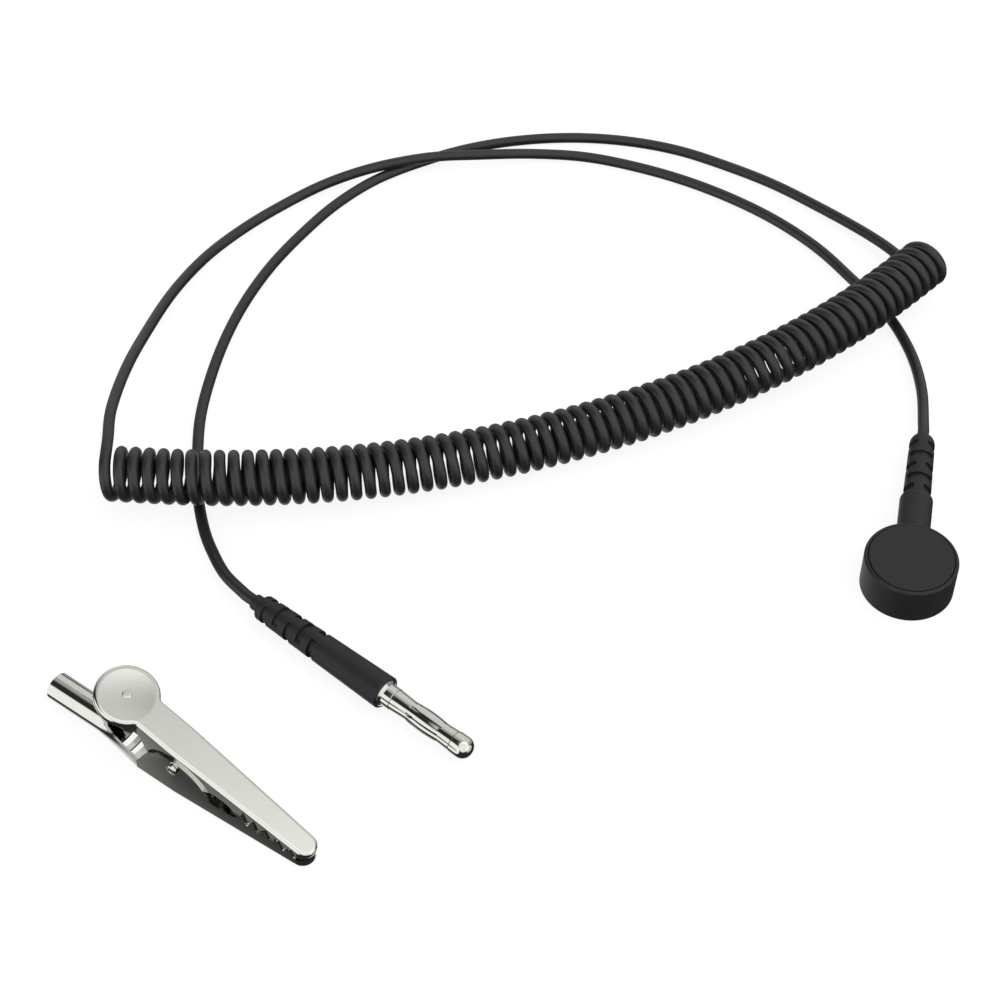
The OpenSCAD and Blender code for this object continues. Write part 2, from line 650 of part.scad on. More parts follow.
function at(T, s) = [lookup(s, T[0]), lookup(s, T[1]), lookup(s, T[2])];
function total(T) = T[0][len(T[0]) - 1][0];

// a closed tube: centres C, directions D, first radial U, radius r, n sides
module tube(C, D, U, r, n) {
    m = len(C);
    pts = [for (i = [0:m - 1]) let (u = unit(U[i] - D[i] * (U[i] * D[i])), v = cross(D[i], u))
        for (j = [0:n - 1]) C[i] + r * (cos((j + 0.5) * 360 / n) * u + sin((j + 0.5) * 360 / n) * v)];
    sides = [for (i = [0:m - 2], j = [0:n - 1]) let (a = i * n + j, b = i * n + (j + 1) % n)
        each [[a, a + n, b + n], [a, b + n, b]]];
    caps = [for (j = [1:n - 2]) each [[0, j, j + 1], [(m - 1) * n, (m - 1) * n + j + 1, (m - 1) * n + j]]];
    polyhedron(pts, concat(sides, caps));
}
function least(C, a, b) = min([for (i = [0:len(C) - 1], j = [i + a:min(i + b, len(C) - 1)]) norm(C[i] - C[j])]);

// ---- the curly part's axis: plan x and y, and how far it rides over the tail below it
AXIS = [[-140.3, 19.8, 1], [-124.5, 18.5, 1], [-109.5, 19.0, 0.85], [-94.7, 21.2, 0.4], [-80, 24.6, 0.05],
        [-65.5, 28.6, 0], [-51.4, 33.7, 0], [-37.5, 39.7, 0.15], [-24.1, 46.6, 0.5], [-11.2, 54.6, 0.9],
        [0.7, 64.2, 1], [12.3, 75.9, 1]];
ride = cord_d + 0.1;
coil_r = (coil_od - cord_d) / 2;
turns = curls + 0.5;
coil_table = table(fine([for (p = AXIS) [p[0], p[1], coil_od / 2 + p[2] * ride]], 16, true));
coil_len = total(coil_table);
function axis_dir(s) = unit(at(coil_table, min(s + 0.6, coil_len)) - at(coil_table, max(s - 0.6, 0)));
function left_of(t) = unit([-t[1], t[0], 0]);
// ring k of the winding, eight to a curl: [centre, direction, outward radial]
function ring(k) = let (a = 45 * k, s = coil_len * k / (8 * turns), t = axis_dir(s), l = left_of(t),
    up = cross(t, l), out = cos(a) * up - sin(a) * l)
    [at(coil_table, s) + coil_r * out,
     unit(-cos(a) * l - sin(a) * up + t * coil_len / turns / (2 * PI * coil_r)), out];
rings = [for (k = [0:8 * turns]) ring(k)];
first = rings[0];
last = rings[len(rings) - 1];
coil_c = concat([first[0] - cord_d * first[1]], [for (q = rings) q[0]], [last[0] + cord_d * last[1]]);
coil_d = concat([first[1]], [for (q = rings) q[1]], [last[1]]);
coil_u = concat([first[2]], [for (q = rings) q[2]], [last[2]]);
module coil() black() tube(coil_c, coil_d, coil_u, cord_d / 2, 6);

// ---- the tails, plan x and y and height as steps of one cord lying over another
HEAD_TAIL = [[-140.9, 33.1, 4.25], [-139.9, 45.7, 3.2], [-137.8, 58.5, 1.85],
    [-134.4, 71.9, 0.75], [-129.3, 83.3, 0.15], [-122.6, 92.2, 0], [-114.8, 99.8, 0], [-106.1, 105.6, 0.4],
    [-96.3, 109.4, 0.9], [-85.3, 112.2, 1.05], [-74.9, 113.4, 0.9], [-63.9, 115, 0.4], [-53, 115, 0],
    [-42.5, 111.8, 0], [-32.5, 107.3, 0], [-23.1, 101.5, 0], [-14.6, 94.6, 0], [-7.2, 86.4, 0],
    [-1.3, 77.2, 0], [4.2, 67.7, 0], [7.5, 57.2, 0], [8.2, 46, 0.45]];
PLUG_TAIL = [[-118.3, 0.4, 0.5], [-121.1, 6.2, 0.15], [-123.2, 12, 0], [-124.9, 19.6, 0],
    [-125.8, 28, 0], [-126.3, 39.1, 0], [-125.3, 50, 0], [-123.3, 60.9, 0], [-120.2, 71.4, 0],
    [-115.9, 81.5, 0], [-110.4, 91, 0], [-104, 100, 0], [-96.2, 107.7, 0], [-86.8, 113.5, 0],
    [-76.8, 117.9, 0], [-66.1, 120.5, 0], [-55.1, 121.3, 0], [-44.2, 120.2, 0], [-33.7, 117.2, 0],
    [-23.9, 112.2, 0], [-14.6, 106.3, 0], [-6, 99.1, 0.05], [1.7, 91.2, 0.35], [6.6, 84.8, 0.7]];
function tall(P) = [for (p = P) [p[0], p[1], cord_d / 2 + p[2] * ride]];
function spin(v, a) = [v[0] * cos(a) - v[1] * sin(a), v[0] * sin(a) + v[1] * cos(a), v[2]];
head_dir = spin([1, 0, 0], head_turn);
head_exit = head_dir * head_tip + [0, 0, collar_z];
plug_dir = spin([-1, 0, 0], plug_turn);
plug_exit = [plug_pos.x, plug_pos.y, plug_z] - plug_dir * grip_tail;
// a tail from point a, leaving along da, through P to point b, arriving along db; straight at both ends
function tail_line(a, da, P, b, db) = let (m = fine(concat([a + cord_d * da], P, [b - cord_d * db]), 8, false))
    concat([a], m, [b]);
module tail(a, da, P, b, db) {
    L = tail_line(a, da, P, b, db);
    T = table(L);
    n = ceil((total(T) - 2 * cord_d) / (3 * cord_d));
    S = concat([0], [for (i = [0:n]) cord_d + (total(T) - 2 * cord_d) * i / n], [total(T)]);
    C = [for (s = S) at(T, s)];
    D = [for (i = [0:n + 2]) i == 0 ? da : i == n + 2 ? db : unit(C[i + 1] - C[i - 1])];
    tube(C, D, [for (d = D) cross(left_of(d), d)], cord_d / 2, 8);
}
head_tail_ends = [coil_c[0], -first[1], head_exit, -head_dir];
plug_tail_ends = [plug_exit, plug_dir, coil_c[len(coil_c) - 1], -last[1]];
module head_tail() black() tail(head_tail_ends[0], head_tail_ends[1], tall(HEAD_TAIL),
    head_tail_ends[2], head_tail_ends[3]);
module plug_tail() black() tail(plug_tail_ends[0], plug_tail_ends[1], tall(PLUG_TAIL),
    plug_tail_ends[2], plug_tail_ends[3]);

// ---- the jaw spring: a torsion spring round the rivet, its legs under the back and on the floor
wire_mean_r = wire_mean_d / 2;
leg_up = [-5.0, back_z - hinge_z + (5.0 - hinge_x) * tan(back_slope) - sheet / cos(back_slope) - wire_d / 2 - 0.2];
leg_down = [-5.5, sheet + wire_d / 2 + 0.15 - hinge_z];
up_at = atan2(leg_up[1], leg_up[0]) - acos(wire_mean_r / norm(leg_up));
down_at = atan2(leg_down[1], leg_down[0]) + acos(wire_mean_r / norm(leg_down)) + 360;
sweep = (up_at - (down_at - 360)) + 360 * wire_turns;
wire_n = ceil(sweep / 45);
wire_y = wire_pitch * sweep / 360;
function wire(i) = let (a = up_at - sweep * i / wire_n)
    [hinge_x + wire_mean_r * cos(a), -wire_y / 2 + wire_y * i / wire_n, hinge_z + wire_mean_r * sin(a)];
function wire_dir(i) = let (a = up_at - sweep * i / wire_n)
    unit([sin(a), wire_pitch / (2 * PI * wire_mean_r), -cos(a)]);
function wire_out(i) = let (a = up_at - sweep * i / wire_n) [cos(a), 0, sin(a)];
leg_a = [hinge_x + leg_up[0], -wire_y / 2, hinge_z + leg_up[1]];
leg_b = [hinge_x + leg_down[0], wire_y / 2, hinge_z + leg_down[1]];
wire_a = unit(wire(0) - leg_a);
wire_b = unit(leg_b - wire(wire_n));
wire_c = concat([leg_a], [for (i = [0:wire_n]) wire(i)], [leg_b]);
module jaw_spring() color([0.6, 0.6, 0.62]) at_clip() tube(wire_c,
    concat([wire_a], [for (i = [0:wire_n]) wire_dir(i)], [wire_b]),
    concat([wire_out(0)], [for (i = [0:wire_n]) wire_out(i)], [wire_out(wire_n)]), wire_d / 2, 6);

echo(str("least gap of the curly part to itself: ", least(coil_c, 6, 10) - cord_d, " mm"));
echo(str("least gap of the jaw spring to itself: ", least(wire_c, 6, 10) - wire_d, " mm"));
echo(str("cord in the curly part: ", lengths(coil_c)[len(coil_c) - 1], " mm, tails: ",
    total(table(tail_line(head_tail_ends[0], head_tail_ends[1], tall(HEAD_TAIL), head_tail_ends[2],
    head_tail_ends[3]))), " and ", total(table(tail_line(plug_tail_ends[0], plug_tail_ends[1],
    tall(PLUG_TAIL), plug_tail_ends[2], plug_tail_ends[3])))));

head_shell();
head_cap();
head_relief();
snap_socket();
snap_spring();
socket_rivet();
solder_lug();
resistor_body();
resistor_leads();
head_crimp();
head_conductor();
head_cord_end();
head_tail();
coil();
plug_tail();
plug_cord_end();
plug_conductor();
plug_grip();
plug_insert();
plug_pin();
pin_cage();
pin_tip();
lower_jaw();
upper_jaw();
hinge_rivet();
jaw_spring();
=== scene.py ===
"""Ground cord for a static-control wrist strap: curly cord, snap head with its resistor,
banana plug with a spinning contact cage, and a loose alligator clip. The CAD's frame, z up: the
cord is drawn in metres, and the other pieces in millimetres that made() turns to metres."""

import math

import bmesh
import bpy
from mathutils import Matrix, Vector


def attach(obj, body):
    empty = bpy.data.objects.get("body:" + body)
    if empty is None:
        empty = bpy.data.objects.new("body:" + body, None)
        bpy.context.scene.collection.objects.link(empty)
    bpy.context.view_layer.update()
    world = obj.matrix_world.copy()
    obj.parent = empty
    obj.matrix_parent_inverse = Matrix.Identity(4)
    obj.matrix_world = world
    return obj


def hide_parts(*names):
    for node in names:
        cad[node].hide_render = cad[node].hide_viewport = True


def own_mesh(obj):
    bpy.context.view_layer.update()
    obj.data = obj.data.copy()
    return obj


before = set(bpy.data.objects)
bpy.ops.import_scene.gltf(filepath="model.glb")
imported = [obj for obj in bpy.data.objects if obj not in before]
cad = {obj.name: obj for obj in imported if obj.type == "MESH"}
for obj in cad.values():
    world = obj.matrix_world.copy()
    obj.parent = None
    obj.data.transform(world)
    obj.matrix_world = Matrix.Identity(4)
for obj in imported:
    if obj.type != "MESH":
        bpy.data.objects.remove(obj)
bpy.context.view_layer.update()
scene = bpy.context.scene

# ---- Camera -------------------------------------------------------------------------------
# Looks from the front, 48 degrees down, through a long lens.
camera = bpy.data.objects.new("camera", bpy.data.cameras.new("camera"))
camera.data.lens = 80
camera.data.sensor_width = 36
camera.data.clip_start = 0.01
camera.location = (-0.0707, -0.24785, 0.29726)
camera.rotation_euler = (math.radians(42), 0, 0)
scene.collection.objects.link(camera)
scene.camera = camera
scene.view_settings.view_transform = "Standard"

# ---- Curly cord ---------------------------------------------------------------------------
# One length of two millimetre cord: a plain tail from the head, sixty-six and a half curls wound
# on a mandrel and set by heat, and a plain tail to the plug. Polyurethane over stranded copper.
CORD_D = 0.0021
COIL_D = 0.010
COIL_R = 0.004
TURNS = 66.5
PER_TURN = 32
HEADING_STEP = 0.0006
# Each end's heading, the tip of its relief, where the jacket stops inside, and its place or height.
HEAD_TURN, HEAD_TIP, HEAD_JACKET, COLLAR_Z = math.radians(78.6), 0.0325, 0.0204, 0.0036
PLUG_POS, PLUG_TURN = (-0.0895, -0.02585, 0.002925), math.radians(-40.35)
PLUG_TAIL_X, PLUG_JACKET = -0.0304, -0.01185
# The coil's axis and both tails: x, y, and how many cord diameters each point is lifted.
AXIS = [(-0.1403, 0.0198, 1), (-0.1245, 0.0185, 1), (-0.1095, 0.0190, 0.85), (-0.0947, 0.0212, 0.4),
        (-0.0800, 0.0246, 0.05), (-0.0655, 0.0286, 0), (-0.0514, 0.0337, 0), (-0.0375, 0.0397, 0.15),
        (-0.0241, 0.0466, 0.5), (-0.0112, 0.0546, 0.9), (0.0007, 0.0642, 1), (0.0123, 0.0759, 1)]
HEAD_TAIL = [(-0.1409, 0.0331, 4.25), (-0.1399, 0.0457, 3.2), (-0.1378, 0.0585, 1.85),
             (-0.1344, 0.0719, 0.75), (-0.1293, 0.0833, 0.15), (-0.1226, 0.0922, 0), (-0.1148, 0.0998, 0),
             (-0.1061, 0.1056, 0.4), (-0.0963, 0.1094, 0.9), (-0.0853, 0.1122, 1.05), (-0.0749, 0.1134, 0.9),
             (-0.0639, 0.1150, 0.4), (-0.0530, 0.1150, 0), (-0.0425, 0.1118, 0), (-0.0325, 0.1073, 0),
             (-0.0231, 0.1015, 0), (-0.0146, 0.0946, 0), (-0.0072, 0.0864, 0), (-0.0013, 0.0772, 0),
             (0.0042, 0.0677, 0), (0.0075, 0.0572, 0), (0.0082, 0.0460, 0.45)]
PLUG_TAIL = [(-0.1183, 0.0004, 0.5), (-0.1211, 0.0062, 0.15), (-0.1232, 0.0120, 0), (-0.1249, 0.0196, 0),
             (-0.1258, 0.0280, 0), (-0.1263, 0.0391, 0), (-0.1253, 0.0500, 0), (-0.1233, 0.0609, 0),
             (-0.1202, 0.0714, 0), (-0.1159, 0.0815, 0), (-0.1104, 0.0910, 0), (-0.1040, 0.1000, 0),
             (-0.0962, 0.1077, 0), (-0.0868, 0.1135, 0), (-0.0768, 0.1179, 0), (-0.0661, 0.1205, 0),
             (-0.0551, 0.1213, 0), (-0.0442, 0.1202, 0), (-0.0337, 0.1172, 0), (-0.0239, 0.1122, 0),
             (-0.0146, 0.1063, 0), (-0.0060, 0.0991, 0.05), (0.0017, 0.0912, 0.35), (0.0066, 0.0848, 0.7)]


def threaded(points, near, steps):
    """a smooth line through the points, or near them, with that many steps from one to the next"""
    points = [Vector(p) for p in points]
    points = [2 * points[0] - points[1]] + points + [2 * points[-1] - points[-2]]
    line = []
    for a, b, c, d in zip(points, points[1:], points[2:], points[3:]):
        for step in range(steps + (d is points[-1])):
            t = step / steps
            if near:
                line.append(((1 - t) ** 3 * a + (3 * t ** 3 - 6 * t * t + 4) * b
                             + (1 + 3 * t + 3 * t * t - 3 * t ** 3) * c + t ** 3 * d) / 6)
            else:
                line.append(0.5 * (2 * b + (c - a) * t + (2 * a - 5 * b + 4 * c - d) * t * t
                                   + (3 * b - a - 3 * c + d) * t ** 3))
    return line


def run_of(line):
    """distance from the line's start to each of its points"""
    run = [0.0]
    for a, b in zip(line, line[1:]):
        run.append(run[-1] + (b - a).length)
    return run


def along(line, run, s):
    """the place at a distance along the line"""
    s = min(max(s, 0.0), run[-1])
    low, high = 0, len(run) - 1
    while high - low > 1:
        middle = (low + high) // 2
        low, high = (middle, high) if run[middle] <= s else (low, middle)
    return line[low].lerp(line[high], (s - run[low]) / (run[high] - run[low]))


mandrel = threaded([(x, y, COIL_D / 2 + ride * CORD_D) for x, y, ride in AXIS], True, 16)
mandrel_run = run_of(mandrel)
coil_len = mandrel_run[-1]


def wound(k):
    """place and heading of the cord at one step of its winding"""
    turn = 2 * math.pi * k / PER_TURN
    s = coil_len * k / (PER_TURN * TURNS)
    ahead = (along(mandrel, mandrel_run, s + HEADING_STEP)
             - along(mandrel, mandrel_run, s - HEADING_STEP)).normalized()
    left = Vector((-ahead.y, ahead.x, 0)).normalized()
    up = ahead.cross(left)
    out = math.cos(turn) * up - math.sin(turn) * left
    way = (-math.cos(turn) * left - math.sin(turn) * up
           + ahead * coil_len / TURNS / (2 * math.pi * COIL_R)).normalized()
    return along(mandrel, mandrel_run, s) + COIL_R * out, way


winding = [wound(k) for k in range(int(PER_TURN * TURNS) + 1)]
coil_start = winding[0][0] - CORD_D * winding[0][1]
coil_end = winding[-1][0] + CORD_D * winding[-1][1]
head_way = Vector((math.cos(HEAD_TURN), math.sin(HEAD_TURN), 0))
plug_way = Vector((-math.cos(PLUG_TURN), -math.sin(PLUG_TURN), 0))
head_exit = head_way * HEAD_TIP + Vector((0, 0, COLLAR_Z))
plug_exit = Vector(PLUG_POS) - plug_way * PLUG_TAIL_X


def laid(points):
    """a tail's points, lifted so that the cord rests on the bench"""
    return [(x, y, CORD_D / 2 + ride * CORD_D) for x, y, ride in points]


from_head = threaded([coil_start - CORD_D * winding[0][1]] + laid(HEAD_TAIL)
                     + [head_exit + CORD_D * head_way], False, 8)
from_plug = threaded([plug_exit + CORD_D * plug_way] + laid(PLUG_TAIL)
                     + [coil_end + CORD_D * winding[-1][1]], False, 8)
route = ([head_way * HEAD_JACKET + Vector((0, 0, COLLAR_Z)), head_exit] + from_head[::-1]
         + [coil_start] + [point for point, way in winding] + [coil_end] + from_plug[::-1]
         + [plug_exit, Vector(PLUG_POS) - plug_way * PLUG_JACKET])

cord_curve = bpy.data.curves.new("cord", "CURVE")
cord_curve.dimensions = "3D"
cord_curve.bevel_depth = CORD_D / 2
cord_curve.bevel_resolution = 6
cord_curve.use_fill_caps = True
spline = cord_curve.splines.new("POLY")
spline.points.add(len(route) - 1)
for point, place in zip(spline.points, route):
    point.co = (*place, 1)
spline.use_smooth = True
cord = bpy.data.objects.new("curly_cord", cord_curve)
scene.collection.objects.link(cord)


def linear(hex_colour):
    """sRGB hex to the linear colour that a shader takes"""
    parts = [int(hex_colour[i:i + 2], 16) / 255 for i in (0, 2, 4)]
    return [p / 12.92 if p <= 0.04045 else ((p + 0.055) / 1.055) ** 2.4 for p in parts] + [1.0]


def put(tree, kind, inputs=(), **settings):
    """adds a node with its settings, values and links"""
    node = tree.nodes.new(kind)
    for name, value in settings.items():
        setattr(node, name, value)
    for name, value in dict(inputs).items():
        if isinstance(value, bpy.types.NodeSocket):
            tree.links.new(value, node.inputs[name])
        else:
            node.inputs[name].default_value = value
    return node


def begun(name):
    """a new material and its emptied node tree"""
    material = bpy.data.materials.new(name)
    material.use_nodes = True
    material.node_tree.nodes.clear()
    return material, material.node_tree


# Polyurethane jacket, extruded: an even satin skin, very faintly uneven along its length, with
# the soft sheen of handled rubber.
polyurethane, tree = begun("polyurethane jacket, extruded")
place = put(tree, "ShaderNodeTexCoord")
cloud = put(tree, "ShaderNodeTexNoise", {"Vector": place.outputs["Object"], "Scale": 160, "Detail": 3})
grain = put(tree, "ShaderNodeTexNoise", {"Vector": place.outputs["Object"], "Scale": 2600, "Detail": 2})
tint = put(tree, "ShaderNodeMix", {"Factor": cloud.outputs["Fac"], "A": linear("1b1c1d"),
                                   "B": linear("222324")}, data_type="RGBA")
sheen = put(tree, "ShaderNodeMapRange", {"Value": cloud.outputs["Fac"], "To Min": 0.36, "To Max": 0.48})
skin = put(tree, "ShaderNodeBump", {"Height": grain.outputs["Fac"], "Strength": 0.08, "Distance": 0.0001})
shader = put(tree, "ShaderNodeBsdfPrincipled", {
    "Base Color": tint.outputs["Result"], "Roughness": sheen.outputs["Result"],
    "Normal": skin.outputs["Normal"], "IOR": 1.5})
put(tree, "ShaderNodeOutputMaterial", {"Surface": shader.outputs["BSDF"]})
cord_curve.materials.append(polyurethane)

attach(cord, "cord_set")
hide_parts("head_tail", "coil", "plug_tail", "head_cord_end", "plug_cord_end")

# ---- Snap head ----------------------------------------------------------------------------
# A round moulded shell, 16 mm across, with a pressed-in cap and a collar on its side that the
# cord's relief plugs into. Both are black ABS, injection moulded.
MM = Matrix.Scale(0.001, 4)
LAID = Matrix.Rotation(math.radians(90), 4, "Y")
at_head = Matrix.Rotation(HEAD_TURN, 4, "Z")
at_collar = at_head @ Matrix.Translation((0, 0, 1000 * COLLAR_Z)) @ LAID
HEAD_R, HEAD_H, HEAD_EDGE = 8.15, 7.2, 0.45
MOUTH_R, MOUTH_DEEP, MOUTH_RIM_R = 5.95, 0.55, 6.7
WELL_R, WELL_FLOOR, CAP_SEAT_R = 7.0, 1.55, 7.5
CAP_R, CAP_Z, CAP_TOP = 7.4, 6.15, 7.35
SKIRT_R, SKIRT_BORE, SKIRT_Z = 6.95, 6.15, 4.95
COLLAR_R, COLLAR_END, COLLAR_BORE = 2.95, 17.2, 1.7


def profile(*corners):
    """corners (r, z, fillet) of a turned piece's section, fillets drawn as short arcs"""
    out = []
    for i, (r, z, fillet) in enumerate(corners):
        here = Vector((r, z))
        if not fillet:
            out.append(here)
            continue
        before = (Vector(corners[i - 1][:2]) - here).normalized()
        after = (Vector(corners[(i + 1) % len(corners)][:2]) - here).normalized()
        half = before.angle(after) / 2
        centre = here + (before + after).normalized() * fillet / math.sin(half)
        start = here + before * fillet / math.tan(half) - centre
        finish = here + after * fillet / math.tan(half) - centre
        sweep = start.angle_signed(finish)
        for step in range(7):
            turn = -sweep * step / 6
            out.append(centre + Vector((start.x * math.cos(turn) - start.y * math.sin(turn),
                                        start.x * math.sin(turn) + start.y * math.cos(turn))))
    return out


def turned(section, steps=96, closed=True):
    """a section spun once about the z axis"""
    shape = bmesh.new()
    corners = [shape.verts.new((p[0], 0, p[1])) for p in section]
    pairs = list(zip(corners, corners[1:] + corners[:1])) if closed else list(zip(corners, corners[1:]))
    edges = [shape.edges.new(pair) for pair in pairs]
    bmesh.ops.spin(shape, geom=corners + edges, cent=(0, 0, 0), axis=(0, 0, 1), angle=2 * math.pi,
                   steps=steps, use_merge=True)
    bmesh.ops.remove_doubles(shape, verts=shape.verts, dist=1e-5)
    bmesh.ops.dissolve_degenerate(shape, edges=shape.edges, dist=1e-6)
    bmesh.ops.recalc_face_normals(shape, faces=shape.faces)
    return shape


def joined(a, b, how):
    """two closed shapes made one, or the second cut out of the first"""
    work = []
    for shape in (a, b):
        mesh = bpy.data.meshes.new("work")
        shape.to_mesh(mesh)
        shape.free()
        work.append(bpy.data.objects.new("work", mesh))
        scene.collection.objects.link(work[-1])
    cut = work[0].modifiers.new("cut", "BOOLEAN")
    cut.object, cut.operation, cut.solver = work[1], how, "EXACT"
    out = bmesh.new()
    out.from_mesh(work[0].evaluated_get(bpy.context.evaluated_depsgraph_get()).to_mesh())
    for obj in work:
        mesh = obj.data
        bpy.data.objects.remove(obj)
        bpy.data.meshes.remove(mesh)
    return out


def made(name, shape, where, body, finish, stands_for=(), soften=0.0, crease=32):
    """a finished piece: millimetres in its own place to metres in the row's frame"""
    shape.transform(MM @ where)
    mesh = bpy.data.meshes.new(name)
    shape.to_mesh(mesh)
    shape.free()
    mesh.shade_smooth()
    mesh.set_sharp_from_angle(angle=math.radians(crease))
    mesh.materials.append(finish)
    obj = bpy.data.objects.new(name, mesh)
    scene.collection.objects.link(obj)
    if soften:
        rim = obj.modifiers.new("soft edges", "BEVEL")
        rim.width, rim.segments, rim.limit_method = soften * 0.001, 2, "ANGLE"
        rim.angle_limit, rim.harden_normals = math.radians(crease), True
    flat = obj.modifiers.new("flat faces stay flat", "WEIGHTED_NORMAL")
    flat.weight, flat.keep_sharp = 60, True
    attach(obj, body)
    if stands_for:
        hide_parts(*stands_for)
    return obj


# ABS, injection moulded in a spark-eroded tool: charcoal black with a fine matt grain that breaks
# up its highlights. The grain is drawn at a quarter of a millimetre, coarser than the real one.
abs_black, tree = begun("ABS, injection moulded")
place = put(tree, "ShaderNodeTexCoord")
cloud = put(tree, "ShaderNodeTexNoise", {"Vector": place.outputs["Object"], "Scale": 220, "Detail": 3})
spark = put(tree, "ShaderNodeTexNoise", {"Vector": place.outputs["Object"], "Scale": 4000, "Detail": 3,
                                         "Roughness": 0.6})
tint = put(tree, "ShaderNodeMix", {"Factor": cloud.outputs["Fac"], "A": linear("191a1c"),
                                   "B": linear("1f2022")}, data_type="RGBA")
matt = put(tree, "ShaderNodeMapRange", {"Value": spark.outputs["Fac"], "To Min": 0.42, "To Max": 0.58})
skin = put(tree, "ShaderNodeBump", {"Height": spark.outputs["Fac"], "Strength": 0.22, "Distance": 0.00006})
shader = put(tree, "ShaderNodeBsdfPrincipled", {
    "Base Color": tint.outputs["Result"], "Roughness": matt.outputs["Result"],
    "Normal": skin.outputs["Normal"], "IOR": 1.42})
put(tree, "ShaderNodeOutputMaterial", {"Surface": shader.outputs["BSDF"]})

shell = turned(profile((MOUTH_R, MOUTH_DEEP, 0), (MOUTH_RIM_R, MOUTH_DEEP, 0), (MOUTH_RIM_R, 0, 0.1),
                       (HEAD_R, 0, 0.15), (HEAD_R, HEAD_H, HEAD_EDGE), (CAP_SEAT_R, HEAD_H, 0.12),
                       (CAP_SEAT_R, CAP_Z, 0), (WELL_R, CAP_Z, 0), (WELL_R, WELL_FLOOR, 0),
                       (MOUTH_R, WELL_FLOOR, 0)), 128)
collar = turned(profile((COLLAR_BORE, 6.4, 0), (COLLAR_R, 6.4, 0), (COLLAR_R, COLLAR_END, 0.7),
                        (COLLAR_BORE, COLLAR_END, 0.1)), 96)
collar.transform(Matrix.Translation((0, 0, 1000 * COLLAR_Z)) @ LAID)
inside = turned([(0, 0), (SKIRT_R, 0), (SKIRT_R, 5), (0, 5)], 96, False)
inside.transform(Matrix.Translation((0, 0, 1.6)))
shell = joined(shell, joined(collar, inside, "DIFFERENCE"), "UNION")
made("shell_with_collar", shell, at_head, "cord_set", abs_black, ["head_shell"], 0.08)

cap = turned(profile((0, CAP_TOP, 0), (CAP_R, CAP_TOP, 0.2), (CAP_R, CAP_Z, 0), (SKIRT_R, CAP_Z, 0),
                     (SKIRT_R, SKIRT_Z, 0.1), (SKIRT_BORE, SKIRT_Z, 0.1), (SKIRT_BORE, CAP_Z, 0),
                     (0, CAP_Z, 0)), 128, False)
made("cap", cap, at_head, "cord_set", abs_black, ["head_cap"])

# ---- Strain reliefs -----------------------------------------------------------------------
# Soft sleeve moulded round the cord, with rows of slots that let it bend: the webs lie above and
# below in one row and at both sides in the next.
SLOT_W, SLOT_PITCH, SLOT_CORE, SLOT_ROWS, WEB = 1.3, 2.75, 2.0, 5, 1.65
SLAB_LONG, SLAB_WIDE = 8, 3
SLEEVE_X, SLEEVE_LEN, SLEEVE_R, SLEEVE_TAPER, SLEEVE_NOSE = 17.2, 13.3, 2.5, 0.2, 2.5
SLEEVE_FIRST, CORD_BORE, SLOT_GAP = 18.25, 1.08, 1.75


def slot_marks(first, radius_at):
    """section points where each row of slots starts and ends, so that a ring of edges lies there"""
    return [(radius_at(first + row * SLOT_PITCH + side), first + row * SLOT_PITCH + side, 0)
            for row in range(SLOT_ROWS) for side in (-SLOT_W / 2, SLOT_W / 2)]


def slotted(shape, first):
    """cuts each row's two slots down to the core"""
    slabs = bmesh.new()
    for row in range(SLOT_ROWS):
        quarter = Matrix.Rotation(math.radians(90 * (row % 2)), 3, "Z")
        for side in (-1, 1):
            slab = bmesh.ops.create_cube(slabs, size=1)["verts"]
            bmesh.ops.scale(slabs, verts=slab, vec=(SLAB_LONG, SLAB_WIDE, SLOT_W))
            bmesh.ops.translate(slabs, verts=slab,
                                vec=(0, side * (WEB + SLAB_WIDE) / 2, first + row * SLOT_PITCH))
            bmesh.ops.rotate(slabs, verts=slab, matrix=quarter)
    core = bmesh.new()
    bmesh.ops.create_cone(core, cap_ends=True, segments=72, radius1=SLOT_CORE, radius2=SLOT_CORE,
                          depth=90)
    return joined(shape, joined(slabs, core, "DIFFERENCE"), "DIFFERENCE")


def relief_radius(x):
    """the head's sleeve narrows towards its nose"""
    return SLEEVE_R - SLEEVE_TAPER * (x - SLEEVE_X) / SLEEVE_LEN


relief_nose = [(-SLEEVE_TAPER + math.sqrt(SLEEVE_NOSE ** 2 - (step / 4) ** 2),
                SLEEVE_X + SLEEVE_LEN + step / 4, 0) for step in range(8)]
relief = turned(profile((CORD_BORE, 15.6, 0), (1.65, 15.6, 0), (1.65, SLEEVE_X, 0),
                        (SLEEVE_R, SLEEVE_X, 0.15), *slot_marks(SLEEVE_FIRST, relief_radius),
                        *relief_nose, (1.3, 32.5, 0.12), (CORD_BORE, 32.5, 0)), 72)
made("head_relief_sleeve", slotted(relief, SLEEVE_FIRST), at_collar, "cord_set", abs_black,
     ["head_relief"], 0.14)

# ---- Banana plug grip ---------------------------------------------------------------------
# Slim moulded grip that tapers to the cord, slotted at its tail like the head's relief, and open
# at the mouth, where the pin's flange stands out a little.
at_plug = (Matrix.Translation([1000 * value for value in PLUG_POS])
           @ Matrix.Rotation(PLUG_TURN, 4, "Z") @ LAID)
GRIP_LEN, GRIP_PLAIN, GRIP_TAIL_R, GRIP_FLARE, GRIP_MOUTH_R = 28.6, 13.6, 2.3, 0.35, 2.925
GRIP_END, INSERT_R, INSERT_DEEP, FLANGE_R, FLANGE_DEEP = 30.4, 2.25, 11.65, 2.5, 0.75


def grip_radius(x):
    """the grip's slotted tail widens towards its plain part"""
    return GRIP_TAIL_R + GRIP_FLARE * (x + GRIP_LEN) / (GRIP_LEN - GRIP_PLAIN)


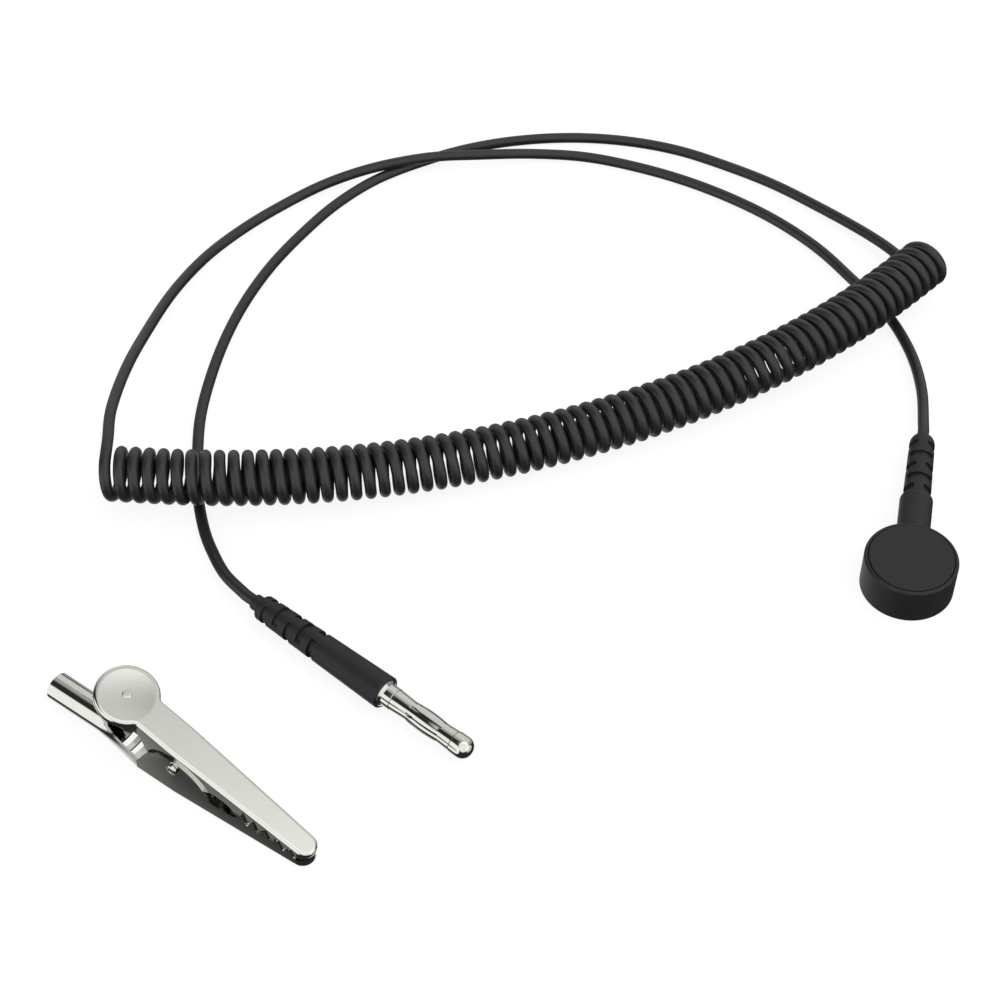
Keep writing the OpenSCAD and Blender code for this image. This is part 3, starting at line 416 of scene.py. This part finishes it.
first_slot = -GRIP_PLAIN - SLOT_GAP - SLOT_PITCH * (SLOT_ROWS - 1)
grip = turned(profile((CORD_BORE, -GRIP_END, 0), (1.45, -GRIP_END, 0.3), (1.45, -GRIP_LEN, 0.15),
                      (GRIP_TAIL_R, -GRIP_LEN, 0.6), *slot_marks(first_slot, grip_radius),
                      (2.65, -GRIP_PLAIN, 0), (GRIP_MOUTH_R, 0, 0.35), (FLANGE_R, 0, 0.05),
                      (FLANGE_R, -FLANGE_DEEP, 0), (INSERT_R, -FLANGE_DEEP, 0),
                      (INSERT_R, -INSERT_DEEP, 0), (CORD_BORE, -INSERT_DEEP, 0)), 72)
made("plug_grip_moulding", slotted(grip, first_slot), at_plug, "cord_set", abs_black,
     ["plug_grip"], 0.14)

# ---- Banana pin ---------------------------------------------------------------------------
# Nickel-plated brass turned on a lathe: flange, plain collar, a core that the contact cage turns
# on, and a rounded tip riveted to its end.
nickel_turned, tree = begun("nickel plate on turned brass")
place = put(tree, "ShaderNodeTexCoord")
lathe = put(tree, "ShaderNodeTexNoise", {"Vector": place.outputs["Object"], "Scale": 900, "Detail": 4})
tint = put(tree, "ShaderNodeMix", {"Factor": lathe.outputs["Fac"], "A": linear("d0d0c9"),
                                   "B": linear("d8d8d1")}, data_type="RGBA")
polish = put(tree, "ShaderNodeMapRange", {"Value": lathe.outputs["Fac"], "To Min": 0.05, "To Max": 0.09})
shader = put(tree, "ShaderNodeBsdfPrincipled", {
    "Base Color": tint.outputs["Result"], "Roughness": polish.outputs["Result"], "Metallic": 1.0})
put(tree, "ShaderNodeOutputMaterial", {"Surface": shader.outputs["BSDF"]})

pin = turned(profile((0, 15.4, 0), (0.9, 15.4, 0), (0.9, 15.05, 0), (1.5, 15.05, 0.05), (1.5, 2.1, 0),
                     (2.0, 2.14, 0.1), (2.0, 0.5, 0.1), (2.45, 0.05, 0.15), (2.45, -FLANGE_DEEP, 0.1),
                     (1.3, -FLANGE_DEEP, 0), (1.3, -11.35, 0.1),
                     (0.5, -11.35, 0), (0.5, -7.35, 0), (0, -7.35, 0)), 96, False)
made("pin_with_flange", pin, at_plug, "cord_set", nickel_turned, ["plug_pin"])

tip = turned(profile((0, 18.5, 0), (1.97, 18.5, 1.75), (1.97, 15.1, 0.12), (0.95, 15.1, 0),
                     (0.95, 16.85, 0), (0, 16.85, 0)), 96, False)
made("rounded_tip", tip, at_plug, "cord_set", nickel_turned, ["pin_tip"])

# ---- Contact cage -------------------------------------------------------------------------
# A sheet rolled into a tube and slit eight times, so that its leaves bow out and grip the jack.
# Each slit starts wide and runs on as a narrow line. The cage is free to turn on the pin's core.
CAGE_X, CAGE_LEN, CAGE_REAR, CAGE_SKIN, CAGE_BORE = 2.2, 12.8, 3.4, 0.2, 1.56
LEAVES, LEAF_LEN = 8, 6.8
SLIT = [(0.18, 0), (0.3, 0.2), (0.3, 1.2), (0.13, 1.9), (0.13, 6.4), (0.18, LEAF_LEN)]
bow = [(1.75 + 0.22 * math.sin(math.pi * step / 14), CAGE_REAR + LEAF_LEN * step / 14)
       for step in range(15)]
skin_out = [(1.95, 0.0)] + bow + [(1.85, CAGE_LEN - 0.4), (1.85, CAGE_LEN)]
skin_in = [(CAGE_BORE, CAGE_LEN)] + [(max(CAGE_BORE, r - CAGE_SKIN), z) for r, z in reversed(bow)]
skin_in.append((CAGE_BORE, 0.0))
cage = turned(skin_out + skin_in, 96)
slits = bmesh.new()
for leaf in range(LEAVES):
    flat = [slits.verts.new((1.2, -y, CAGE_REAR + z)) for y, z in SLIT]
    flat += [slits.verts.new((1.2, y, CAGE_REAR + z)) for y, z in reversed(SLIT)]
    wedge = bmesh.ops.extrude_face_region(slits, geom=[slits.faces.new(flat)])["geom"]
    lifted = [part for part in wedge if isinstance(part, bmesh.types.BMVert)]
    bmesh.ops.translate(slits, verts=lifted, vec=(2, 0, 0))
    bmesh.ops.rotate(slits, verts=flat + lifted,
                     matrix=Matrix.Rotation(math.radians(12 + 360 / LEAVES * leaf), 3, "Z"))
bmesh.ops.recalc_face_normals(slits, faces=slits.faces)
made("contact_cage", joined(cage, slits, "DIFFERENCE"), at_plug @ Matrix.Translation((0, 0, CAGE_X)),
     "cage", nickel_turned, ["pin_cage"], 0.035)

# ---- Alligator clip, lower jaw ------------------------------------------------------------
# Steel strip, stamped with teeth, windows and ears, folded up into a channel and rolled into a
# barrel that takes the banana plug, then nickel plated.
CLIP_TURN = math.radians(-36.7)
at_clip = Matrix.Translation((-121.1, -41.1, 0)) @ Matrix.Rotation(CLIP_TURN, 4, "Z")
SHEET, WALL, HINGE = 0.4, 0.35, Vector((0.7, 0, 7.5))
BARREL_R, BARREL_BORE, BARREL_END = 2.45, 2.05, -28.7
FLARE_X, FLARE_LEN, FLARE_TOP = -17.2, 9.2, 5.4
NOSE_X = 24.3
nickel_stamped, tree = begun("nickel plate on stamped steel")
place = put(tree, "ShaderNodeTexCoord")
drawn = put(tree, "ShaderNodeMapping", {"Vector": place.outputs["Object"], "Rotation": (0, 0, -CLIP_TURN),
                                        "Scale": (0.15, 1, 1)})
rolled = put(tree, "ShaderNodeTexNoise", {"Vector": drawn.outputs["Vector"], "Scale": 2200, "Detail": 4})
cloud = put(tree, "ShaderNodeTexNoise", {"Vector": place.outputs["Object"], "Scale": 130, "Detail": 3})
tint = put(tree, "ShaderNodeMix", {"Factor": cloud.outputs["Fac"], "A": linear("cfcfc8"),
                                   "B": linear("d6d6cf")}, data_type="RGBA")
polish = put(tree, "ShaderNodeMapRange", {"Value": cloud.outputs["Fac"], "To Min": 0.06, "To Max": 0.1})
skin = put(tree, "ShaderNodeBump", {"Height": rolled.outputs["Fac"], "Strength": 0.04, "Distance": 0.00005})
shader = put(tree, "ShaderNodeBsdfPrincipled", {
    "Base Color": tint.outputs["Result"], "Roughness": polish.outputs["Result"],
    "Normal": skin.outputs["Normal"], "Metallic": 1.0})
put(tree, "ShaderNodeOutputMaterial", {"Surface": shader.outputs["BSDF"]})


def arc(x, y, r, start, end, steps):
    """points along an arc, angles in degrees"""
    turns = [math.radians(start + (end - start) * step / steps) for step in range(steps + 1)]
    return [(x + r * math.cos(turn), y + r * math.sin(turn)) for turn in turns]


def lofted(rings):
    """a closed shape through rings of points, each ring as long as the next"""
    shape = bmesh.new()
    rings = [[shape.verts.new(point) for point in ring] for ring in rings]
    shape.faces.new(rings[0])
    shape.faces.new(rings[-1])
    for near, far in zip(rings, rings[1:]):
        for i in range(len(near)):
            shape.faces.new((near[i - 1], near[i], far[i], far[i - 1]))
    bmesh.ops.recalc_face_normals(shape, faces=shape.faces)
    return shape


def raised(outline, low, high, fold=0.0, far=None):
    """a plan outline raised from one height to another, its edge at the first height rounded by fold"""
    shape = lofted([[(x, y, low) for x, y in outline], [(x, y, high) for x, y in far or outline]])
    rim = [edge for edge in shape.edges if all(abs(corner.co.z - low) < 1e-4 for corner in edge.verts)]
    if fold:
        bmesh.ops.bevel(shape, geom=rim, offset=fold, segments=6, profile=0.5, affect="EDGES", material=-1)
    return shape


def across(outline):
    """a side view's outline as a slab that reaches past both sides of the clip"""
    slab = raised(outline, -12, 12)
    slab.transform(Matrix.Rotation(math.radians(90), 4, "X"))
    return slab


def pierced(shape, radius):
    """bores the hinge's hole through both sides"""
    hole = bmesh.new()
    bmesh.ops.create_cone(hole, cap_ends=True, segments=48, radius1=radius, radius2=radius, depth=12)
    hole.transform(Matrix.Translation(HINGE) @ Matrix.Rotation(math.radians(90), 4, "X"))
    return joined(shape, hole, "DIFFERENCE")


def flared(radius, half, floor, corner, start, end):
    """a barrel that opens out into the channel's square section"""
    right = [((half - corner) * step / 6, floor) for step in range(6)]
    right += arc(half - corner, floor + corner, corner, -90, 0, 6)
    right += [(half, floor + corner + (FLARE_TOP - floor - corner) * step / 8) for step in range(1, 9)]
    right += [(half * (1 - step / 8), FLARE_TOP) for step in range(1, 9)]
    square = right + [(-y, z) for y, z in right[-2:0:-1]]
    turns = [math.atan2(z - FLARE_TOP / 2, y) for y, z in square]
    barrel = [(radius * math.cos(turn), BARREL_R + radius * math.sin(turn)) for turn in turns]
    rings = [[(start, y, z) for y, z in barrel]]
    for step in range(9):
        t = step / 8
        rings.append([(FLARE_X + FLARE_LEN * t, a[0] + (b[0] - a[0]) * t, a[1] + (b[1] - a[1]) * t)
                      for a, b in zip(barrel, square)])
    rings.append([(end, y, z) for y, z in square])
    shape = lofted(rings)
    bmesh.ops.triangulate(shape, faces=shape.faces)
    return shape


def channel(rear, half, nose, nose_x):
    """plan of a folded channel: parallel behind the hinge, then tapered to a round nose"""
    return [(rear, -half), (0, -half)] + arc(nose_x, 0, nose, -90, 90, 24) + [(0, half), (rear, half)]


lower = raised(channel(-8, 3.3, 2.13, NOSE_X), 0, 11, 0.7)
lower = joined(lower, flared(BARREL_R, 3.29, 0.01, 0.7, BARREL_END, -7.9), "UNION")
lower = joined(lower, raised(channel(-8.4, 2.95, 1.78, NOSE_X), SHEET, 12, 0.3), "DIFFERENCE")
lower = joined(lower, flared(BARREL_BORE, 2.9, SHEET + 0.01, 0.3, -30, -7.8), "DIFFERENCE")
# The teeth's tips and feet, which both jaws share, then the lower jaw's outline from the side:
# over the barrel and the flare, up the ears, over them, down the notch and along the teeth.
teeth = [(12.6, 3.75), (13.3, 4.05), (14.05, 5.5), (14.3, 5.55), (14.95, 3.4), (15.2, 3.35), (16.25, 5.1),
         (16.5, 5.1), (17.05, 3.05), (17.3, 3.05), (18.6, 4.65), (18.85, 4.65), (19.45, 2.85), (19.75, 2.85),
         (21.0, 4.25), (21.25, 4.2), (22.05, 2.45), (22.35, 2.4), (23.4, 3.85), (23.65, 3.8), (24.35, 2.1)]
side = [(-30, -1), (-30, 6), (-17.2, 6), (-17.2, 4.51), (-7.8, 2.7), (-7.1, 3.7), (-5.9, 5.7), (-5.3, 6.6)]
side += arc(0.3, 2.0, 7.3, 134, 32, 24)
side += [(7.7, 3.8), (8.2, 3.6), (10.3, 3.5)] + teeth + [(24.8, 1.95), (28, 1.9), (28, -1)]
lower = joined(lower, across(side), "INTERSECT")
for rear, front, half, low, high in ((-13.5, -12.25, 1.6, -1, 1), (-11.25, -10.15, 1.6, -1, 1),
                                     (-30, -16, 0.06, 3.45, 6)):
    cutter = raised([(rear, -half), (front, -half), (front, half), (rear, half)], low, high)
    lower = joined(lower, cutter, "DIFFERENCE")
made("folded_lower_jaw", pierced(lower, 0.67), at_clip, "clip", nickel_stamped,
     ["lower_jaw"], 0.11, 28)

# ---- Alligator clip, upper jaw ------------------------------------------------------------
# The same strip, folded down to run between the lower jaw's sides, and widened behind the hinge
# into a dished thumb pad with a small button at its middle.
BACK_Z, BACK_SLOPE = 11.25, math.radians(15.64)
BACK_HALF, BACK_NOSE, BACK_NOSE_X = 2.95, 2.0, 26.0
PAD_X, PAD_R, NECK_FILLET, LEAN = -11.4, 5.35, 0.9, 0.12
NECK_Y, NECK_REACH = BACK_HALF + NECK_FILLET, PAD_R + NECK_FILLET
DISH_R, DISH_DEEP = 4.8, 0.14
TOOTH_GAP = 0.12
on_back = Matrix.Translation((0, 0, BACK_Z)) @ Matrix.Rotation(BACK_SLOPE, 4, "Y")


def backed(inset, lean=0.0):
    """plan of the upper jaw with its thumb pad, drawn in by the sheet, its flanges leant in"""
    half, nose = BACK_HALF - inset - lean, BACK_NOSE - inset - lean
    pad, fillet = PAD_R - inset, NECK_FILLET + inset
    neck_y = NECK_Y - lean
    swing = math.degrees(math.asin(neck_y / NECK_REACH))
    neck_x = PAD_X + NECK_REACH * math.cos(math.radians(swing))
    plan = arc(BACK_NOSE_X, 0, nose, -90, 90, 24) + [(0, half)]
    plan += arc(neck_x, neck_y, fillet, -90, -180 + swing, 6)
    plan += arc(PAD_X, 0, pad, swing, 360 - swing, 80)[1:-1]
    plan += arc(neck_x, -neck_y, fillet, 180 - swing, 90, 6)
    return plan + [(0, -half)]


upper = joined(raised(backed(0), 0, -8, 0.57, backed(0, LEAN)),
               raised(backed(WALL), -SHEET, -8.4, 0.3, backed(WALL, LEAN)), "DIFFERENCE")
dish = turned([(0, -DISH_DEEP)]
              + [(DISH_R * step / 12, -DISH_DEEP + DISH_DEEP * (step / 12) ** 2) for step in range(1, 13)]
              + [(DISH_R, 1), (0, 1)], 96, False)
button = turned(profile((0, 0.06, 0), (0.82, 0.1, 0.2), (0.82, -0.35, 0), (0, -0.35, 0)), 48, False)
for tool, how in ((dish, "DIFFERENCE"), (button, "UNION")):
    tool.transform(Matrix.Translation((PAD_X, 0, 0)))
    upper = joined(upper, tool, how)
upper.transform(on_back)
# Outline from the side: under the pad, down its shoulder, past the hinge and along the teeth.
side = [(-20, 30), (-20, 15.55), (-9.6, 12.65), (-8.6, 12.3), (-7.7, 11.7), (-7.0, 10.9), (-6.5, 9.8),
        (-5.95, 8.4), (-5.15, 6.2), (-3.6, 4.7), (-1.5, 4.0), (3.5, 4.0), (5.2, 4.3), (6.3, 4.9),
        (7.0, 5.65), (7.6, 5.95), (8.6, 6.1), (10.3, 5.9), (11.5, 5.4), (12.2, 4.6)]
side += [(x, z + TOOTH_GAP) for x, z in teeth[1:]] + [(24.7, 2.4), (28.5, 2.4), (28.5, 30)]
upper = pierced(joined(upper, across(side), "INTERSECT"), 0.72)
made("folded_upper_jaw", upper, at_clip, "jaw", nickel_stamped, ["upper_jaw"], 0.1, 28)

# ---- Alligator clip, hinge rivet ----------------------------------------------------------
# Hollow steel rivet, spread at both ends over the lower jaw's ears, nickel plated.
RIVET_END, RIVET_SEAT, RIVET_R, RIVET_HEAD_R, RIVET_BORE = 3.85, 3.31, 0.65, 0.98, 0.42
rivet = turned(profile((RIVET_BORE, -RIVET_END, 0.12), (RIVET_HEAD_R, -RIVET_END, 0.3),
                       (RIVET_HEAD_R, -RIVET_SEAT, 0), (RIVET_R, -RIVET_SEAT, 0),
                       (RIVET_R, RIVET_SEAT, 0), (RIVET_HEAD_R, RIVET_SEAT, 0),
                       (RIVET_HEAD_R, RIVET_END, 0.3), (RIVET_BORE, RIVET_END, 0.12)), 48)
across_clip = Matrix.Translation(HINGE) @ Matrix.Rotation(math.radians(90), 4, "X")
made("hollow_rivet", rivet, at_clip @ across_clip, "clip", nickel_stamped, ["hinge_rivet"])

# ---- Alligator clip, spring ---------------------------------------------------------------
# Torsion spring of drawn wire wound round the rivet. One leg pushes up under the pad, the other
# down on the lower jaw's floor, and they close up as the jaws open. Plated like the jaws.
WIRE_R, WOUND_R, WIRE_PITCH, WIRE_TURNS, WIRE_STEPS = 0.3, 1.35, 1.05, 3, 80
under_back = BACK_Z - HINGE.z + 4.3 * math.tan(BACK_SLOPE) - SHEET / math.cos(BACK_SLOPE)
leg_up = Vector((-5.0, under_back - 0.5))
leg_down = Vector((-5.5, SHEET + WIRE_R + 0.15 - HINGE.z))
up_at = math.atan2(leg_up.y, leg_up.x) - math.acos(WOUND_R / leg_up.length)
down_at = math.atan2(leg_down.y, leg_down.x) + math.acos(WOUND_R / leg_down.length)
sweep = up_at - down_at + 2 * math.pi * WIRE_TURNS
wide = WIRE_PITCH * sweep / (2 * math.pi)
line = [HINGE + Vector((leg_up.x, -wide / 2, leg_up.y))]
for step in range(WIRE_STEPS + 1):
    turn = up_at - sweep * step / WIRE_STEPS
    line.append(HINGE + Vector((WOUND_R * math.cos(turn), wide * (step / WIRE_STEPS - 0.5),
                                WOUND_R * math.sin(turn))))
line.append(HINGE + Vector((leg_down.x, wide / 2, leg_down.y)))
rings = []
for i, point in enumerate(line):
    way = (line[min(i + 1, len(line) - 1)] - line[max(i - 1, 0)]).normalized()
    out = way.cross(Vector((0, 1, 0))).normalized()
    rings.append([point + WIRE_R * (math.cos(turn) * out + math.sin(turn) * way.cross(out))
                  for turn in (math.pi * side / 6 for side in range(12))])
spring = made("torsion_spring", lofted(rings), at_clip, "clip", nickel_stamped,
              ["jaw_spring"])
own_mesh(spring)

# ---- Inside the head and the plug ---------------------------------------------------------
# Socket and retaining spring for the wristband's stud, the solder lug, the resistor that limits
# the current, and the crimp on the cord's strands, all closed in by the cap and open only at the
# socket's mouth. The plug's insert and strands lie inside its grip.
inner = {"snap_socket": nickel_turned, "snap_spring": nickel_turned, "socket_rivet": nickel_turned,
         "solder_lug": nickel_turned, "resistor_leads": nickel_turned, "head_crimp": nickel_turned,
         "plug_insert": abs_black}
for name, finish in inner.items():
    cad[name].data.materials.clear()
    cad[name].data.materials.append(finish)

copper, tree = begun("copper strands, bare")
place = put(tree, "ShaderNodeTexCoord")
strand = put(tree, "ShaderNodeTexWave", {"Vector": place.outputs["Object"], "Scale": 1400})
tint = put(tree, "ShaderNodeMix", {"Factor": strand.outputs["Fac"], "A": linear("b5703f"),
                                   "B": linear("d69368")}, data_type="RGBA")
shader = put(tree, "ShaderNodeBsdfPrincipled", {"Base Color": tint.outputs["Result"], "Roughness": 0.3,
                                                "Metallic": 1.0})
put(tree, "ShaderNodeOutputMaterial", {"Surface": shader.outputs["BSDF"]})
for name in ("head_conductor", "plug_conductor"):
    cad[name].data.materials.clear()
    cad[name].data.materials.append(copper)

lacquer, tree = begun("resistor lacquer")
place = put(tree, "ShaderNodeTexCoord")
fleck = put(tree, "ShaderNodeTexNoise", {"Vector": place.outputs["Object"], "Scale": 1500, "Detail": 2})
tint = put(tree, "ShaderNodeMix", {"Factor": fleck.outputs["Fac"], "A": linear("6f9fb0"),
                                   "B": linear("7badbd")}, data_type="RGBA")
shader = put(tree, "ShaderNodeBsdfPrincipled", {"Base Color": tint.outputs["Result"], "Roughness": 0.3})
put(tree, "ShaderNodeOutputMaterial", {"Surface": shader.outputs["BSDF"]})
cad["resistor_body"].data.materials.clear()
cad["resistor_body"].data.materials.append(lacquer)

# ---- Bench --------------------------------------------------------------------------------
# White paper sweep. To the camera it is mostly its own white, with a faint shadow under the
# object, and to the light a pale grey card. The metal doesn't mirror it.
CARD_GLOW, CARD_GREY, CARD_GREY_SEEN = 0.86, (0.75, 0.75, 0.75, 1), (0.2, 0.2, 0.2, 1)
bench_mesh = bpy.data.meshes.new("bench")
sheet = bmesh.new()
bmesh.ops.create_grid(sheet, x_segments=1, y_segments=1, size=4.0)
sheet.to_mesh(bench_mesh)
sheet.free()
bench = bpy.data.objects.new("bench", bench_mesh)
scene.collection.objects.link(bench)
bench.visible_glossy = False
paper, tree = begun("white sweep")
path = put(tree, "ShaderNodeLightPath")
strength = put(tree, "ShaderNodeMath", {0: path.outputs["Is Camera Ray"], 1: CARD_GLOW},
               operation="MULTIPLY")
glow = put(tree, "ShaderNodeEmission", {"Color": (1, 1, 1, 1), "Strength": strength.outputs["Value"]})
stock = put(tree, "ShaderNodeMix", {"Factor": path.outputs["Is Camera Ray"], "A": CARD_GREY,
                                    "B": CARD_GREY_SEEN}, data_type="RGBA")
card = put(tree, "ShaderNodeBsdfDiffuse", {"Color": stock.outputs["Result"]})
both = put(tree, "ShaderNodeAddShader", {0: card.outputs["BSDF"], 1: glow.outputs["Emission"]})
put(tree, "ShaderNodeOutputMaterial", {"Surface": both.outputs["Shader"]})
bench_mesh.materials.append(paper)

# ---- Studio -------------------------------------------------------------------------------
# All the light comes from the world: a dark room with soft panels round the object, so that the
# metal shows separate bright bands. The camera sees plain white behind the bench.
ROOM = 0.03
# Each panel's direction, the cosines where it begins and where it is full, and its strength.
panels = [((0.35, 0.75, 0.56), 0.46, 0.72, 0.5), ((0.35, 0.75, 0.56), 0.78, 0.88, 0.32),
          ((0.3, -0.6, 0.74), 0.52, 0.72, 1.15), ((-0.88, -0.44, 0.06), 0.73, 0.84, 1.25),
          ((-0.2, 0.5, -0.84), 0.73, 0.95, 0.9), ((0.93, -0.35, -0.05), 0.84, 0.92, 0.8),
          ((-0.5, 0.85, 0.1), 0.8, 0.95, 0.5)]
world = bpy.data.worlds.new("studio")
world.use_nodes = True
scene.world = world
tree = world.node_tree
tree.nodes.clear()
place = put(tree, "ShaderNodeTexCoord")
level = ROOM
for way, start, full, most in panels:
    toward = put(tree, "ShaderNodeVectorMath", {0: place.outputs["Generated"], 1: way},
                 operation="DOT_PRODUCT")
    panel = put(tree, "ShaderNodeMapRange", {
        "Value": toward.outputs["Value"], "From Min": start, "From Max": full, "To Max": most},
        interpolation_type="SMOOTHSTEP")
    level = put(tree, "ShaderNodeMath", {0: level, 1: panel.outputs["Result"]},
                operation="ADD").outputs["Value"]
path = put(tree, "ShaderNodeLightPath")
white = put(tree, "ShaderNodeMath", {
    0: path.outputs["Is Camera Ray"], 1: path.outputs["Is Transmission Ray"]}, operation="MAXIMUM")
strength = put(tree, "ShaderNodeMix", {"Factor": white.outputs["Value"], "A": level, "B": 1.0},
               data_type="FLOAT")
sky = put(tree, "ShaderNodeBackground", {"Color": (1, 1, 1, 1), "Strength": strength.outputs["Result"]})
put(tree, "ShaderNodeOutputWorld", {"Surface": sky.outputs["Background"]})
